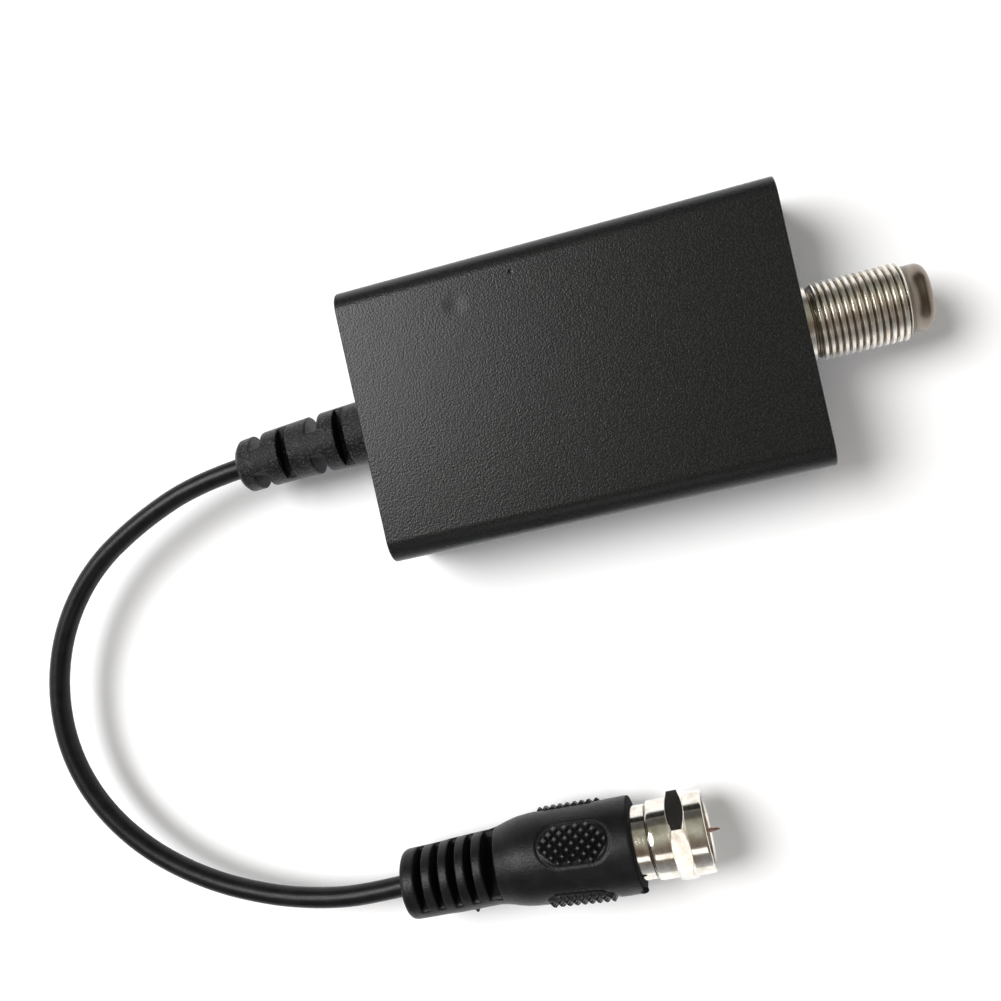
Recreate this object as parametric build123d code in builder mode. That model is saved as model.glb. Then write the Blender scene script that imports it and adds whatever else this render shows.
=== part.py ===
from build123d import *
import os
from math import copysign, cos, pi, radians, sin, tan

# Inline aerial module: a moulded box with a threaded coaxial socket on one end
# and a short coaxial pigtail with a screw-on plug on the other.
# Millimetres. Origin at the centre of the box's underside, +X to the socket, +Z up.

# How far a cutter runs past the faces that it opens
overrun = 1.0

# Box
body_length = 55.6
body_width = 35.2
body_height = 15.0
edge_round = 2.8
end_softening = 0.25
wall = 1.8
parting_height = 7.5
axis_height = 7.5
lip_height = 1.2
lip_thickness = 0.8
lip_clearance = 0.1
shadow_line_height = 0.25
shadow_line_depth = 0.2

# Case screws, driven from below on one diagonal
screw_x = 12.5
screw_y = 11.9
screw_shank_radius = 1.0
screw_length = 11.0
screw_head_radius = 1.9
screw_head_height = 1.4
screw_head_recess = 0.6
screw_drive_radius = 0.95
screw_drive_depth = 0.8
screw_clearance = 0.2
boss_radius = 3.0
boss_clearance = 0.3

# Circuit board
board_thickness = 1.2
board_top = 4.2
board_left_gap = 4.4
board_right_gap = 2.2
board_side_gap = 1.2
standoff_radius = 1.6
standoff_inset = 3.2
hold_down_width = 6.0
hold_down_thickness = 1.2
hold_down_clearance = 0.1

# Threaded socket
socket_reach = 15.1
socket_collar_radius = 4.55
socket_collar_length = 1.1
undercut_radius = 4.1
undercut_width = 0.4
thread_radius = 4.7625
thread_length = 10.8
thread_chamfer = 0.35
nose_radius = 4.1
nose_round = 1.2
socket_bore_radius = 3.1
nose_lip_radius = 2.6
nose_lip_thickness = 0.5
flange_radius = 5.3
flange_thickness = 1.6
block_length = 7.0
block_width = 8.6
block_height = 7.2
leg_size = 0.9
leg_inset = 0.4
leg_reach = 2.2
leg_clearance = 0.15
socket_hole_clearance = 0.1
insulator_clearance = 0.02
front_insulator_length = 2.0
rear_insulator_length = 3.0
entry_radius = 0.8
contact_radius = 1.0
contact_bore_radius = 0.45
contact_slot = 0.3
contact_slot_length = 6.0
contact_tail_radius = 0.4
contact_tail_reach = 1.6
contact_tail_bend = 0.8

# Cord
cord_radius = 1.4
braid_radius = 1.1
dielectric_radius = 0.75
conductor_radius = 0.25
cord_entry = 4.6
braid_length = 1.8
dielectric_length = 1.6
conductor_run = 1.6
conductor_bend = 0.9
drain_bend = 0.9
drain_offset = 3.0
drain_run = 3.2

# Straight leads of the free cord, out of the relief and into the plug
box_lead = 7.6
plug_lead = 6.8

# Strain relief on the box
relief_length = 19.2
relief_base_radius = 4.3
relief_tip_radius = 3.35
relief_tip_round = 0.6
relief_neck_radius = 3.1
relief_neck_clearance = 0.05
relief_flange = 9.0
relief_flange_thickness = 1.4
relief_web = 3.4
relief_notch = 1.0
relief_side_notches = (3.4, 11.6)
relief_top_notches = (6.75, 14.9)

# Plug, lying beside the box and turned a little: its stations count along its own axis
plug_y = -59.9
plug_yaw = 1.15
plug_tail = -37.6
plug_tilt = 30.0
tail_radius = 4.55
tail_round = 0.35
rib_end_radius = 4.8
rib_section = 12.5
flare_end_radius = 5.7
flare_length = 3.8
grip_radius = 6.15
grip_length = 15.1
grip_swell = 0.15
slot_first = 2.05
slot_pitch = 2.18
slot_width = 0.9
slot_count = 4
last_slot_width = 1.72
slot_web = 3.8
pad_radius = 6.5
pad_length = 9.2
pad_width = 5.4
pad_centre = 7.7
pad_bite = 1.0

# Plug metalwork
neck_radius = 4.7
neck_reach = 1.9
neck_anchor = 4.0
post_radius = 3.4
post_bore_radius = 2.3
post_anchor = 8.1
post_flange_radius = 4.2
post_flange_thickness = 0.9
nut_length = 7.35
nut_gap = 0.1
nut_lip = 1.2
nut_lip_clearance = 0.1
nut_rear_radius = 5.0
nut_front_radius = 5.15
nut_bore_radius = 4.45
nut_bore_chamfer = 0.35
hex_flats = 10.5
hex_start = 2.7
hex_thickness = 2.35
hex_chamfer = 0.5
hex_corner_angle = 25.0
pin_radius = 0.4
pin_root_radius = 0.6
pin_reach = 1.45
pin_tip = 0.25

# Parts on the board
coil_radius = 1.5
coil_wire_radius = 0.25
coil_pitch = 0.75
coil_turns = 4
coil_stations = (8.5, 1.5, -5.5)
coil_inset = 6.0
coil_lift = 0.35
chip_size = (4.5, 2.5, 1.5)
chip_place = (-3.0, 0.0)
chip_lead = (0.5, 1.1, 0.4)
chip_lead_pitch = 1.5
chip_chamfer = 0.2
capacitor_size = (2.0, 1.25, 0.9)
capacitor_places = ((11.5, 0.0), (6.5, 0.0), (2.5, -5.5), (-9.0, 3.5), (7.5, -6.5), (-9.0, -5.0))
choke_radius = 2.4
choke_height = 3.2
choke_waist_radius = 1.7
choke_waist_height = 1.8
choke_inset = 9.6
choke_y = -1.0

os.makedirs("parts", exist_ok=True)

# Planes and stations that several pieces share
half_length = body_length / 2
inner_wall = half_length - wall
half_width = body_width / 2
roof = body_height - wall
box_axis = Plane(origin=(0, 0, axis_height), x_dir=(1, 0, 0), z_dir=(0, -1, 0))
plug_along = (cos(radians(plug_yaw)), sin(radians(plug_yaw)), 0)
plug_across = (sin(radians(plug_yaw)), -cos(radians(plug_yaw)), 0)
plug_plane = Plane(origin=(0, plug_y, pad_radius), x_dir=plug_along, z_dir=plug_across)
front_x = plug_tail + rib_section + flare_length + grip_length
nut_rear_x = front_x + neck_reach + nut_gap
nut_front_x = nut_rear_x + nut_length
lip_end_x = nut_rear_x + nut_lip
flange_front_x = lip_end_x + nut_gap + post_flange_thickness
post_start_x = front_x - post_anchor
screw_places = [(-screw_x, screw_y), (screw_x, -screw_y)]


# Turns a closed outline of (station, radius) points about the x direction of a plane
def turned(plane, outline, mode=Mode.ADD):
    with BuildSketch(plane) as profile:
        with BuildLine():
            Polyline(*outline, close=True)
        make_face()
    revolve(profile.sketch, axis=Axis(plane.origin, plane.x_dir), mode=mode)


# Turns a plain tube or rod from one station to another
def barrel(plane, start, end, outer, inner=0.0, mode=Mode.ADD):
    turned(plane, [(start, inner), (start, outer), (end, outer), (end, inner)], mode)


# Plane turned about its own x direction
def rolled(plane, turn):
    return Plane(plane.location * Rotation(turn, 0, 0))


# Solid block between two corners
def block(low, high, mode=Mode.ADD):
    size = [b - a for a, b in zip(low, high)]
    with Locations(Vector(*low)):
        Box(*size, align=(Align.MIN, Align.MIN, Align.MIN), mode=mode)


# Rectangle of the box in plan, drawn in by an inset, as a slab between two heights
def plan_slab(inset, bottom, top, mode=Mode.ADD):
    low = (inset - half_length, inset - half_width, bottom)
    high = (half_length - inset, half_width - inset, top)
    block(low, high, mode)


# Hollow box before it is parted: flat ends, long edges rounded
def hollow_box():
    with BuildSketch(Plane.YZ.offset(-half_length)) as section:
        with Locations((0, body_height / 2)):
            RectangleRounded(body_width, body_height, edge_round)
    shell = extrude(section.sketch, amount=body_length)
    ends = shell.faces().filter_by(Axis.X).edges()
    fillet(ends, radius=end_softening)
    with BuildSketch(Plane.YZ.offset(-inner_wall)) as hollow:
        with Locations((0, body_height / 2)):
            RectangleRounded(body_width - 2 * wall, body_height - 2 * wall, edge_round - wall)
    extrude(hollow.sketch, amount=2 * inner_wall, mode=Mode.SUBTRACT)


# Openings in the end walls for the socket and the strain relief
def end_openings():
    relief_hole = relief_neck_radius + relief_neck_clearance
    socket_hole = socket_collar_radius + socket_hole_clearance
    outside = half_length + overrun
    inside = inner_wall - overrun
    barrel(box_axis, -outside, -inside, relief_hole, mode=Mode.SUBTRACT)
    barrel(box_axis, inside, outside, socket_hole, mode=Mode.SUBTRACT)


# Bottom half of the box, with a lip round its rim, screw posts and board standoffs
lip_outer = wall - lip_thickness
board_bottom = board_top - board_thickness
board_left = board_left_gap - inner_wall
board_right = inner_wall - board_right_gap
board_half_width = half_width - wall - board_side_gap
head_seat = screw_head_recess + screw_head_height
standoff_places = [
    (board_left + standoff_inset, board_half_width - standoff_inset),
    (board_left + standoff_inset, standoff_inset - board_half_width),
    (board_right - standoff_inset, board_half_width - standoff_inset),
    (board_right - standoff_inset, standoff_inset - board_half_width),
]

with BuildPart() as bottom_shell:
    hollow_box()
    split(bisect_by=Plane.XY.offset(parting_height), keep=Keep.BOTTOM)
    plan_slab(lip_outer, parting_height - lip_height, parting_height + lip_height)
    plan_slab(wall, parting_height - lip_height, parting_height + lip_height, Mode.SUBTRACT)
    with BuildSketch(Plane.XY.offset(wall / 2)) as posts:
        with Locations(*screw_places):
            Circle(boss_radius)
    extrude(posts.sketch, amount=parting_height - wall / 2)
    with BuildSketch(Plane.XY.offset(wall / 2)) as standoffs:
        with Locations(*standoff_places):
            Circle(standoff_radius)
    extrude(standoffs.sketch, amount=board_bottom - wall / 2)
    with BuildSketch(Plane.XY) as head_holes:
        with Locations(*screw_places):
            Circle(screw_head_radius + screw_clearance)
    extrude(head_holes.sketch, amount=head_seat, mode=Mode.SUBTRACT)
    with BuildSketch(Plane.XY) as shank_holes:
        with Locations(*screw_places):
            Circle(screw_shank_radius + screw_clearance)
    extrude(shank_holes.sketch, amount=parting_height, mode=Mode.SUBTRACT)
    end_openings()
bottom_shell.part.label = "bottom_shell"
export_step(bottom_shell.part, "parts/bottom_shell.step")

# Top half of the box, rebated for the lip, with screw bosses, board hold-downs
# and a shadow line round the outside where it meets the bottom half
with BuildPart() as top_shell:
    hollow_box()
    split(bisect_by=Plane.XY.offset(parting_height), keep=Keep.TOP)
    rebate_top = parting_height + lip_height + lip_clearance
    plan_slab(lip_outer - lip_clearance, parting_height, rebate_top, Mode.SUBTRACT)
    with BuildSketch(Plane.XY.offset(parting_height)) as bosses:
        with Locations(*screw_places):
            Circle(boss_radius)
    extrude(bosses.sketch, amount=roof + wall / 2 - parting_height)
    with BuildSketch(Plane.XY.offset(parting_height)) as pilots:
        with Locations(*screw_places):
            Circle(screw_shank_radius)
    extrude(pilots.sketch, amount=head_seat + screw_length - parting_height, mode=Mode.SUBTRACT)
    hold_down_y = board_half_width - hold_down_thickness
    with BuildSketch(Plane.XY.offset(board_top + hold_down_clearance)) as hold_downs:
        with Locations((screw_x, hold_down_y), (-screw_x, -hold_down_y)):
            Rectangle(hold_down_width, hold_down_thickness)
    extrude(hold_downs.sketch, amount=roof + wall / 2 - board_top - hold_down_clearance)
    with BuildSketch(Plane.XY.offset(parting_height)) as shadow_line:
        Rectangle(body_length + 2 * overrun, body_width + 2 * overrun)
        Rectangle(
            body_length - 2 * shadow_line_depth,
            body_width - 2 * shadow_line_depth,
            mode=Mode.SUBTRACT,
        )
    extrude(shadow_line.sketch, amount=shadow_line_height, mode=Mode.SUBTRACT)
    end_openings()
top_shell.part.label = "top_shell"
export_step(top_shell.part, "parts/top_shell.step")

# Self-tapping case screws with a cross recess
with BuildPart() as case_screws:
    with BuildSketch(Plane.XY.offset(screw_head_recess)) as heads:
        with Locations(*screw_places):
            Circle(screw_head_radius)
    extrude(heads.sketch, amount=screw_head_height)
    with BuildSketch(Plane.XY.offset(head_seat)) as shanks:
        with Locations(*screw_places):
            Circle(screw_shank_radius)
    extrude(shanks.sketch, amount=screw_length)
    with BuildSketch(Plane.XY.offset(screw_head_recess)) as drives:
        with Locations(*screw_places):
            Rectangle(2 * screw_drive_radius, screw_drive_radius / 2)
            Rectangle(screw_drive_radius / 2, 2 * screw_drive_radius)
    extrude(drives.sketch, amount=screw_drive_depth, mode=Mode.SUBTRACT)
case_screws.part.label = "case_screws"
export_step(case_screws.part, "parts/case_screws.step")

# Socket body: barrel with its thread's outside size, nose, flange, block and four legs
nose_tip = half_length + socket_reach
collar_end = half_length + socket_collar_length
thread_start = collar_end + undercut_width
thread_end = thread_start + thread_length
flange_start = inner_wall - flange_thickness
block_start = flange_start - block_length
leg_half = block_width / 2 - leg_inset - leg_size / 2
leg_x = [block_start + leg_inset + leg_size / 2, flange_start - leg_inset - leg_size / 2]
leg_places = [(x, y) for x in leg_x for y in (leg_half, -leg_half)]

with BuildPart() as socket_body:
    barrel(box_axis, flange_start, inner_wall, flange_radius)
    barrel(box_axis, inner_wall, collar_end, socket_collar_radius)
    barrel(box_axis, collar_end, thread_start, undercut_radius)
    with BuildSketch(box_axis) as thread_and_nose:
        with BuildLine():
            Polyline(
                (thread_start, 0),
                (thread_start, thread_radius),
                (thread_end - thread_chamfer, thread_radius),
                (thread_end, thread_radius - thread_chamfer),
                (thread_end, nose_radius),
                (nose_tip - nose_round, nose_radius),
            )
            RadiusArc(
                (nose_tip - nose_round, nose_radius),
                (nose_tip, nose_radius - nose_round),
                nose_round,
            )
            Polyline((nose_tip, nose_radius - nose_round), (nose_tip, 0), (thread_start, 0))
        make_face()
    revolve(thread_and_nose.sketch, axis=Axis(box_axis.origin, box_axis.x_dir))
    block_low = (block_start, -block_width / 2, board_top)
    block(block_low, (flange_start, block_width / 2, board_top + block_height))
    with BuildSketch(Plane.XY.offset(board_top)) as legs:
        with Locations(*leg_places):
            Rectangle(leg_size, leg_size)
    extrude(legs.sketch, amount=leg_reach - board_top)
    barrel(box_axis, block_start, nose_tip - nose_lip_thickness, socket_bore_radius, mode=Mode.SUBTRACT)
    barrel(box_axis, block_start, nose_tip, nose_lip_radius, mode=Mode.SUBTRACT)
socket_body.part.label = "socket_body"
export_step(socket_body.part, "parts/socket_body.step")

# White insulator behind the nose, with the entry for the centre wire
front_insulator_tip = nose_tip - nose_lip_thickness
front_insulator_back = front_insulator_tip - front_insulator_length
insulator_radius = socket_bore_radius - insulator_clearance
with BuildPart() as socket_front_insulator:
    barrel(box_axis, front_insulator_back, front_insulator_tip, insulator_radius, entry_radius)
socket_front_insulator.part.label = "socket_front_insulator"
export_step(socket_front_insulator.part, "parts/socket_front_insulator.step")

# White insulator in the block, carrying the contact's tail
rear_insulator_front = block_start + rear_insulator_length
with BuildPart() as socket_rear_insulator:
    barrel(box_axis, block_start, rear_insulator_front, insulator_radius, contact_tail_radius)
socket_rear_insulator.part.label = "socket_rear_insulator"
export_step(socket_rear_insulator.part, "parts/socket_rear_insulator.step")

# Spring contact: a slotted tube in front and a tail bent down into the board
tail_x = block_start - contact_tail_reach
with BuildPart() as socket_contact:
    barrel(box_axis, rear_insulator_front, front_insulator_back, contact_radius)
    contact_floor = front_insulator_back - contact_slot_length
    barrel(box_axis, contact_floor, front_insulator_back, contact_bore_radius, mode=Mode.SUBTRACT)
    slot_low = (contact_floor, -contact_radius, axis_height - contact_slot / 2)
    block(slot_low, (front_insulator_back, contact_radius, axis_height + contact_slot / 2), Mode.SUBTRACT)
    with BuildLine() as tail_path:
        FilletPolyline(
            (rear_insulator_front, 0, axis_height),
            (tail_x, 0, axis_height),
            (tail_x, 0, leg_reach),
            radius=contact_tail_bend,
        )
    with BuildSketch(Plane(origin=tail_path.line @ 0, z_dir=tail_path.line % 0)) as tail_section:
        Circle(contact_tail_radius)
    sweep(tail_section.sketch, path=tail_path.line)
socket_contact.part.label = "socket_contact"
export_step(socket_contact.part, "parts/socket_contact.step")

# Stations of the pigtail's stripped end inside the box
cord_inner_x = cord_entry - inner_wall
braid_end_x = cord_inner_x + braid_length
dielectric_end_x = braid_end_x + dielectric_length
conductor_x = dielectric_end_x + conductor_run
drain_x = braid_end_x - braid_length / 2
drain_foot_x = drain_x + drain_run

# Circuit board, notched for the screw posts and drilled for legs and tail
with BuildPart() as circuit_board:
    block((board_left, -board_half_width, board_bottom), (board_right, board_half_width, board_top))
    with BuildSketch(Plane.XY.offset(board_bottom)) as notches:
        with Locations(*screw_places):
            Circle(boss_radius + boss_clearance)
        with Locations(*[(x, y + copysign(boss_radius, y)) for x, y in screw_places]):
            Rectangle(2 * (boss_radius + boss_clearance), 2 * boss_radius)
        with Locations(*leg_places):
            Rectangle(leg_size + 2 * leg_clearance, leg_size + 2 * leg_clearance)
        with Locations((tail_x, 0)):
            Circle(contact_tail_radius + leg_clearance)
    extrude(notches.sketch, amount=board_thickness, mode=Mode.SUBTRACT)
circuit_board.part.label = "circuit_board"
export_step(circuit_board.part, "parts/circuit_board.step")

# Amplifier chip: moulded body with three leads on one side and a tab on the other
with BuildPart() as amplifier_chip:
    chip_x, chip_y = chip_place
    with Locations((chip_x, chip_y, board_top + chip_size[2] / 2)):
        Box(*chip_size)
    chip_top = amplifier_chip.faces().sort_by(Axis.Z)[-1]
    chamfer(chip_top.edges(), length=chip_chamfer)
    lead_reach = (chip_size[1] + chip_lead[1]) / 2
    lead_z = board_top + chip_lead[2] / 2
    with Locations(*[(chip_x + i * chip_lead_pitch, chip_y - lead_reach, lead_z) for i in (-1, 0, 1)]):
        Box(*chip_lead)
    with Locations((chip_x, chip_y + lead_reach, lead_z)):
        Box(chip_lead_pitch, chip_lead[1], chip_lead[2])
amplifier_chip.part.label = "amplifier_chip"
export_step(amplifier_chip.part, "parts/amplifier_chip.step")

# Air-cored filter coils standing along X on the board
with BuildPart() as filter_coils:
    coil_length = coil_turns * coil_pitch
    coil_z = board_top + coil_lift + coil_radius + coil_wire_radius
    coil_y = board_half_width - coil_inset
    for coil_x in coil_stations:
        coil_start = (coil_x, coil_y, coil_z)
        with BuildLine() as winding:
            Helix(coil_pitch, coil_length, coil_radius, center=coil_start, direction=(1, 0, 0))
        with BuildSketch(Plane(origin=winding.line @ 0, z_dir=winding.line % 0)) as wire:
            Circle(coil_wire_radius)
        sweep(wire.sketch, path=winding.line, is_frenet=True)
        for end in (0, 1):
            foot = winding.line @ end
            with BuildSketch(Plane.XY.offset(board_top)) as leg:
                with Locations((foot.X, foot.Y)):
                    Circle(coil_wire_radius)
            extrude(leg.sketch, amount=foot.Z - board_top)
filter_coils.part.label = "filter_coils"
export_step(filter_coils.part, "parts/filter_coils.step")

# Chip capacitors of the filter
with BuildPart() as chip_capacitors:
    with Locations(*[(x, y, board_top + capacitor_size[2] / 2) for x, y in capacitor_places]):
        Box(*capacitor_size)
chip_capacitors.part.label = "chip_capacitors"
export_step(chip_capacitors.part, "parts/chip_capacitors.step")

# Supply choke: a bobbin with a waist for its winding
with BuildPart() as supply_choke:
    choke_place = (board_left + choke_inset, choke_y)
    with BuildSketch(Plane.XY.offset(board_top)) as bobbin:
        with Locations(choke_place):
            Circle(choke_radius)
    extrude(bobbin.sketch, amount=choke_height)
    waist_base = board_top + (choke_height - choke_waist_height) / 2
    with BuildSketch(Plane.XY.offset(waist_base)) as waist:
        with Locations(choke_place):
            Circle(choke_radius)
            Circle(choke_waist_radius, mode=Mode.SUBTRACT)
    extrude(waist.sketch, amount=choke_waist_height, mode=Mode.SUBTRACT)
supply_choke.part.label = "supply_choke"
export_step(supply_choke.part, "parts/supply_choke.step")


# Two opposed flat-bottomed notches, which leave a web through the axis
def opposed_notches(plane, station, width, web, reach, turn):
    tilted = rolled(plane, turn)
    for side in (1, -1):
        with BuildSketch(tilted) as notch:
            with Locations((station, side * (web / 2 + reach / 2))):
                Rectangle(width, reach)
        extrude(notch.sketch, amount=reach, both=True, mode=Mode.SUBTRACT)


# Strain relief: tapered, notched in turn from the sides and from top and bottom,
# its neck held in the wall and its square flange behind it
relief_tip_x = -half_length - relief_length
with BuildPart() as strain_relief:
    turned(
        box_axis,
        [
            (relief_tip_x, 0),
            (relief_tip_x, relief_tip_radius - relief_tip_round),
            (relief_tip_x + relief_tip_round, relief_tip_radius),
            (-half_length, relief_base_radius),
            (-half_length, relief_neck_radius),
            (-inner_wall, relief_neck_radius),
            (-inner_wall, 0),
        ],
    )
    flange_half = relief_flange / 2
    block(
        (-inner_wall, -flange_half, axis_height - flange_half),
        (relief_flange_thickness - inner_wall, flange_half, axis_height + flange_half),
    )
    for distance in relief_side_notches:
        opposed_notches(box_axis, relief_tip_x + distance, relief_notch, relief_web, relief_base_radius, 90)
    for distance in relief_top_notches:
        opposed_notches(box_axis, relief_tip_x + distance, relief_notch, relief_web, relief_base_radius, 0)
    barrel(box_axis, relief_tip_x, relief_flange_thickness - inner_wall, cord_radius, mode=Mode.SUBTRACT)
strain_relief.part.label = "strain_relief"
export_step(strain_relief.part, "parts/strain_relief.step")

# Cord jacket through the strain relief, ending inside the box
with BuildPart() as cord_box_end:
    barrel(box_axis, relief_tip_x, cord_inner_x, cord_radius)
cord_box_end.part.label = "cord_box_end"
export_step(cord_box_end.part, "parts/cord_box_end.step")

# Braid laid bare, gathered to one side and soldered down as the ground
with BuildPart() as cord_braid:
    barrel(box_axis, cord_inner_x, braid_end_x, braid_radius, dielectric_radius)
    with BuildLine() as drain_path:
        FilletPolyline(
            (drain_x, -(braid_radius + dielectric_radius) / 2, axis_height),
            (drain_x, -drain_offset, axis_height),
            (drain_foot_x, -drain_offset, board_top),
            radius=drain_bend,
        )
    with BuildSketch(Plane(origin=drain_path.line @ 0, z_dir=drain_path.line % 0)) as drain_section:
        Circle((braid_radius - dielectric_radius) / 2)
    sweep(drain_section.sketch, path=drain_path.line)
cord_braid.part.label = "cord_braid"
export_step(cord_braid.part, "parts/cord_braid.step")

# Inner insulation of the cord
with BuildPart() as cord_dielectric:
    barrel(box_axis, cord_inner_x, dielectric_end_x, dielectric_radius, conductor_radius)
cord_dielectric.part.label = "cord_dielectric"
export_step(cord_dielectric.part, "parts/cord_dielectric.step")

# Centre wire, bent down to its pad
with BuildPart() as cord_conductor:
    with BuildLine() as conductor_path:
        FilletPolyline(
            (cord_inner_x, 0, axis_height),
            (conductor_x, 0, axis_height),
            (conductor_x, 0, board_top),
            radius=conductor_bend,
        )
    with BuildSketch(Plane(origin=conductor_path.line @ 0, z_dir=conductor_path.line % 0)) as wire_end:
        Circle(conductor_radius)
    sweep(wire_end.sketch, path=conductor_path.line)
cord_conductor.part.label = "cord_conductor"
export_step(cord_conductor.part, "parts/cord_conductor.step")

# Free cord: out of the relief and round to the plug in one stiff loop that sags a little
cord_points = [
    (relief_tip_x, 0.0, axis_height),
    (relief_tip_x - box_lead, 0.0, axis_height),
    (-64.4, -4.2, 7.3),
    (-73.0, -9.4, 7.0),
    (-79.5, -16.7, 6.7),
    (-83.0, -25.3, 6.4),
    (-83.4, -34.4, 6.2),
    (-80.5, -42.9, 6.1),
    (-74.7, -50.2, 6.0),
    (-66.8, -55.7, 6.0),
    (-58.4, -59.1, 6.1),
    (-51.0, -60.8, 6.3),
    tuple(plug_plane.from_local_coords((plug_tail - plug_lead, 0, 0))),
    tuple(plug_plane.from_local_coords((plug_tail, 0, 0))),
]


# Largest arc that fits at each corner of a route
def corner_radii(points):
    radii = []
    for before, here, after in zip(points, points[1:], points[2:]):
        incoming = Vector(*here) - Vector(*before)
        outgoing = Vector(*after) - Vector(*here)
        half_turn = radians(incoming.get_angle(outgoing)) / 2
        shorter = min(incoming.length, outgoing.length)
        radii.append(0.45 * shorter / tan(half_turn))
    return radii


cord_bends = corner_radii(cord_points)
with BuildPart() as cord:
    with BuildLine() as cord_path:
        FilletPolyline(*cord_points, radius=cord_bends)
    with BuildSketch(Plane(origin=cord_path.line @ 0, z_dir=cord_path.line % 0)) as cord_section:
        Circle(cord_radius)
    sweep(cord_section.sketch, path=cord_path.line)
cord.part.label = "cord"
export_step(cord.part, "parts/cord.step")
print("cord route", [tuple(round(c, 3) for c in point) for point in cord_points])
print("cord bend radii", [round(r, 1) for r in cord_bends])
cord_length = cord_path.wires()[0].length
tube_share = cord.part.volume / (pi * cord_radius**2 * cord_length)
print("cord length", round(cord_length, 2))
print("cord volume over section times length", round(tube_share, 5))

# Moulded plug body: ribbed tail, flare and grip with four raised pads
rib_end_x = plug_tail + rib_section
flare_end_x = rib_end_x + flare_length
with BuildPart() as plug_boot:
    with BuildSketch(plug_plane) as boot_profile:
        with BuildLine():
            Polyline(
                (front_x, grip_radius),
                (front_x, 0),
                (plug_tail, 0),
                (plug_tail, tail_radius - tail_round),
                (plug_tail + tail_round, tail_radius),
                (rib_end_x, rib_end_radius),
                (flare_end_x, flare_end_radius),
            )
            SagittaArc((flare_end_x, flare_end_radius), (front_x, grip_radius), grip_swell)
        make_face()
    revolve(boot_profile.sketch, axis=Axis(plug_plane.origin, plug_plane.x_dir))
    for quarter in range(4):
        pad_plane = rolled(plug_plane, 90 * quarter - plug_tilt)
        lifted = Plane(origin=pad_plane.origin, x_dir=pad_plane.x_dir, z_dir=pad_plane.y_dir)
        with BuildSketch(lifted) as pad_outline:
            with Locations((flare_end_x + pad_centre, 0)):
                SlotOverall(pad_length, pad_width)
        extrude(pad_outline.sketch, amount=pad_radius + pad_bite)
    barrel(plug_plane, plug_tail, front_x, pad_radius + pad_width, pad_radius, Mode.SUBTRACT)
    for number in range(slot_count):
        station = plug_tail + slot_first + slot_width / 2 + number * slot_pitch
        opposed_notches(plug_plane, station, slot_width, slot_web, grip_radius, -plug_tilt)
    station = plug_tail + slot_first + slot_count * slot_pitch + last_slot_width / 2
    opposed_notches(plug_plane, station, last_slot_width, slot_web, grip_radius, -plug_tilt)
    barrel(plug_plane, plug_tail, post_start_x, cord_radius, mode=Mode.SUBTRACT)
    barrel(plug_plane, post_start_x, front_x - neck_anchor, post_radius, mode=Mode.SUBTRACT)
    barrel(plug_plane, front_x - neck_anchor, front_x, neck_radius, mode=Mode.SUBTRACT)
plug_boot.part.label = "plug_boot"
export_step(plug_boot.part, "parts/plug_boot.step")

# Cord jacket inside the plug body
with BuildPart() as cord_plug_end:
    barrel(plug_plane, plug_tail, post_start_x, cord_radius)
cord_plug_end.part.label = "cord_plug_end"
export_step(cord_plug_end.part, "parts/cord_plug_end.step")

# Plain sleeve that shows between the grip and the nut
with BuildPart() as plug_collar:
    barrel(plug_plane, front_x - neck_anchor, front_x + neck_reach, neck_radius, post_radius)
plug_collar.part.label = "plug_collar"
export_step(plug_collar.part, "parts/plug_collar.step")

# Post: a tube through the sleeve with the flange that keeps the nut on
with BuildPart() as plug_post:
    barrel(plug_plane, post_start_x, flange_front_x, post_radius, post_bore_radius)
    flange_back_x = flange_front_x - post_flange_thickness
    barrel(plug_plane, flange_back_x, flange_front_x, post_flange_radius, post_bore_radius)
plug_post.part.label = "plug_post"
export_step(plug_post.part, "parts/plug_post.step")

# Insulator inside the post
with BuildPart() as plug_dielectric:
    barrel(plug_plane, post_start_x, flange_front_x, post_bore_radius, pin_root_radius)
plug_dielectric.part.label = "plug_dielectric"
export_step(plug_dielectric.part, "parts/plug_dielectric.step")

# Centre pin, which stands a little past the nut
pin_end_x = nut_front_x + pin_reach
with BuildPart() as plug_pin:
    turned(
        plug_plane,
        [
            (post_start_x, 0),
            (post_start_x, pin_root_radius),
            (flange_front_x, pin_root_radius),
            (flange_front_x, pin_radius),
            (pin_end_x - pin_tip, pin_radius),
            (pin_end_x, pin_radius - pin_tip),
            (pin_end_x, 0),
        ],
    )
plug_pin.part.label = "plug_pin"
export_step(plug_pin.part, "parts/plug_pin.step")

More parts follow.
